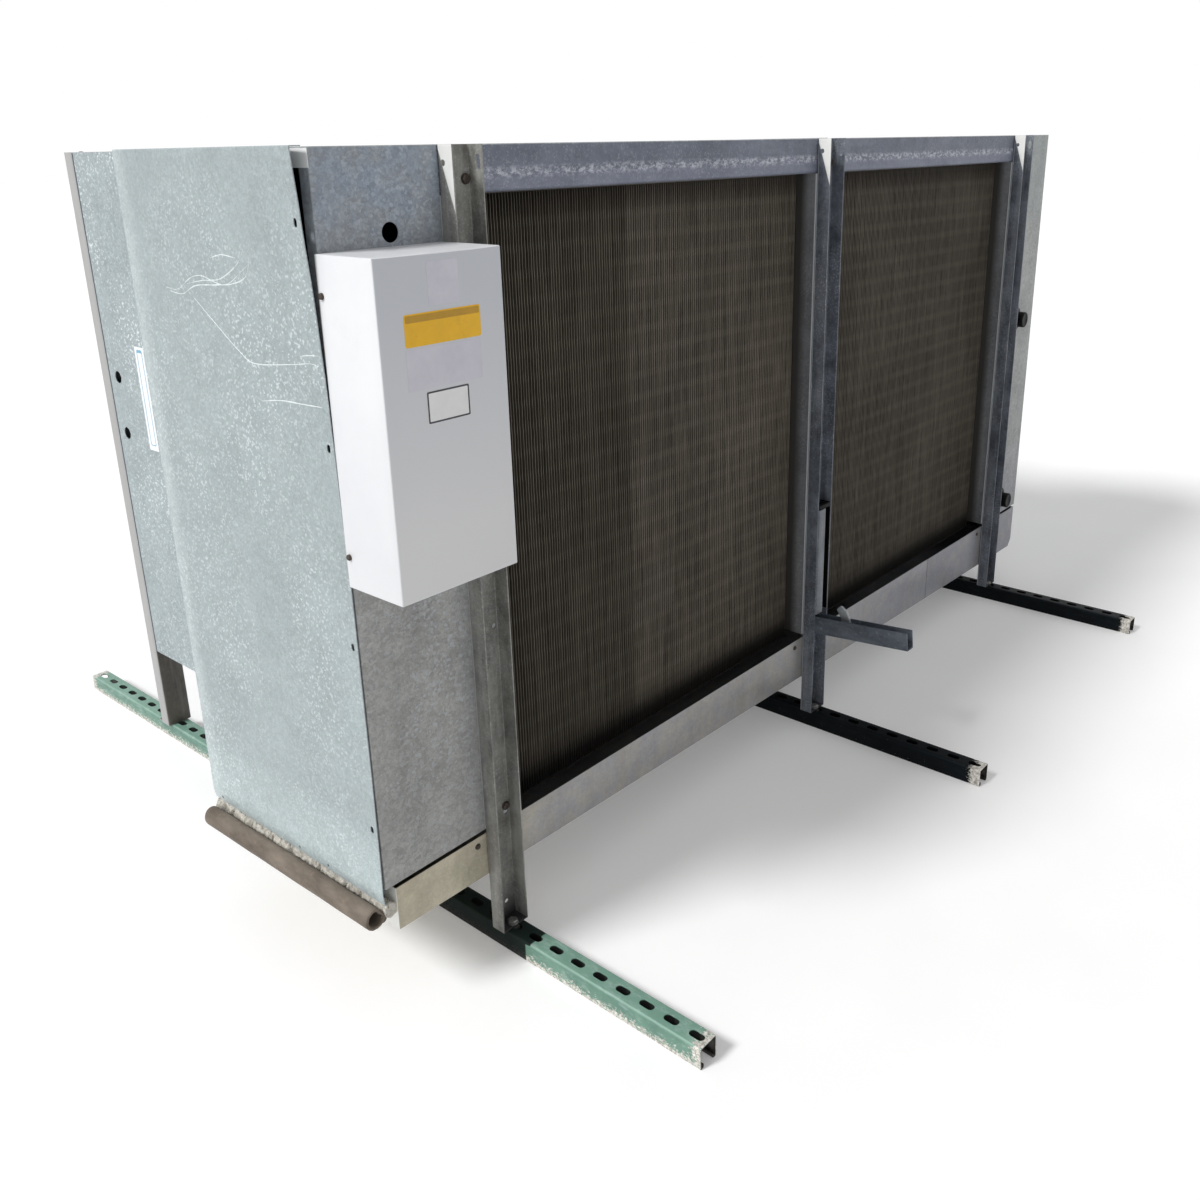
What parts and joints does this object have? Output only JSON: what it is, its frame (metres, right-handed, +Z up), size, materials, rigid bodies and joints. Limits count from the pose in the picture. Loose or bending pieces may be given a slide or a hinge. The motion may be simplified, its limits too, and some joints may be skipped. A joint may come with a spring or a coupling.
{
  "type": "refrigeration evaporator",
  "caption": "Floor-standing unit cooler: finned coil behind an open front, fan section behind, end bays, control box and drain pan, on posts and slotted strut rails.",
  "frame": {"origin": "on the floor, under the middle rail and halfway along it", "axes": "+X along the cabinet towards the pipe end, +Y from the air intake to the fans, +Z up"},
  "size_m": [2.5369, 2.032, 1.3668],
  "materials": {
    "rail_paint": "weathered green paint",
    "zinc_post": "dark weathered zinc",
    "zinc_bolts": "dull zinc",
    "galvanised_sheet": "galvanised, dull",
    "spangled_sheet": "galvanised with a light spangle",
    "weathered_sheet": "galvanised, weathered dark",
    "fan_alloy": "satin",
    "motor_paint": "satin",
    "guard_coating": "satin",
    "coil_fins": "dusty",
    "copper_tube": "tarnished copper",
    "pan_sheet": "dull",
    "box_paint": "satin white",
    "grey_plastic": "matt",
    "black_plastic": "matt",
    "black_rubber": "matt",
    "pipe_foam": "closed-cell foam, matt",
    "sealant": "matt"
  },
  "bodies": {
    "cabinet": {"bracket_arm": "zinc_post", "bracket_clip": "zinc_post", "bracket_plug": "black_rubber", "bracket_upright": "zinc_post", "coil_fins_left": "coil_fins", "coil_fins_right": "coil_fins", "contactors": "black_plastic", "control_box_tray": "galvanised_sheet", "drain_outlet": "grey_plastic", "drain_pan": "pan_sheet", "fan_guard_left": "guard_coating", "fan_guard_right": "guard_coating", "fan_motor_left": "motor_paint", "fan_motor_right": "motor_paint", "fan_panel_left": "galvanised_sheet", "fan_panel_right": "galvanised_sheet", "fan_side_panel_left": "galvanised_sheet", "fan_side_panel_right": "galvanised_sheet", "foam_sleeve": "pipe_foam", "foot_bolts": "zinc_bolts", "front_beam_left": "galvanised_sheet", "front_beam_right": "galvanised_sheet", "left_bay_wrap": "galvanised_sheet", "left_front_plate": "weathered_sheet", "liquid_distributor": "copper_tube", "motor_rails_left": "galvanised_sheet", "motor_rails_right": "galvanised_sheet", "mounting_rail": "zinc_bolts", "pipe_grommets": "black_rubber", "pipe_stubs": "copper_tube", "plenum_divider": "galvanised_sheet", "plenum_floor": "galvanised_sheet", "post_back_left": "zinc_post", "post_back_middle": "zinc_post", "post_back_right": "zinc_post", "post_bolts": "zinc_bolts", "post_front_left": "zinc_post", "post_front_middle": "zinc_post", "post_front_right": "zinc_post", "rail_left": "rail_paint", "rail_middle": "rail_paint", "rail_right": "rail_paint", "return_bends": "copper_tube", "right_bay_wrap": "galvanised_sheet", "right_end_cover": "galvanised_sheet", "right_front_plate": "weathered_sheet", "roof_panel": "galvanised_sheet", "sealant_bead": "sealant", "stub_caps": "black_plastic", "suction_header": "copper_tube", "terminal_block": "grey_plastic", "tube_plate_left": "galvanised_sheet", "tube_plate_middle": "galvanised_sheet", "tube_plate_right": "galvanised_sheet"},
    "fan_left": {"fan_wheel_left": "fan_alloy"},
    "fan_right": {"fan_wheel_right": "fan_alloy"},
    "control_cover": {"control_box_cover": "box_paint", "cover_screws": "zinc_bolts"},
    "end_cover": {"left_end_cover": "spangled_sheet"}
  },
  "joints": [
    {"name": "fan_left_spin", "type": "hinge", "parent": "cabinet", "child": "fan_left", "pos_m": [-0.508, 0.5647, 0.804], "axis": [0, 1, 0], "continuous": true},
    {"name": "fan_right_spin", "type": "hinge", "parent": "cabinet", "child": "fan_right", "pos_m": [0.508, 0.5647, 0.804], "axis": [0, 1, 0], "continuous": true},
    {"name": "control_cover_slide", "type": "slide", "parent": "cabinet", "child": "control_cover", "axis": [0, -1, 0], "range_m": [0, 0.15]},
    {"name": "left_end_cover_slide", "type": "slide", "parent": "cabinet", "child": "end_cover", "axis": [-1, 0, 0], "range_m": [0, 0.25]}
  ]
}
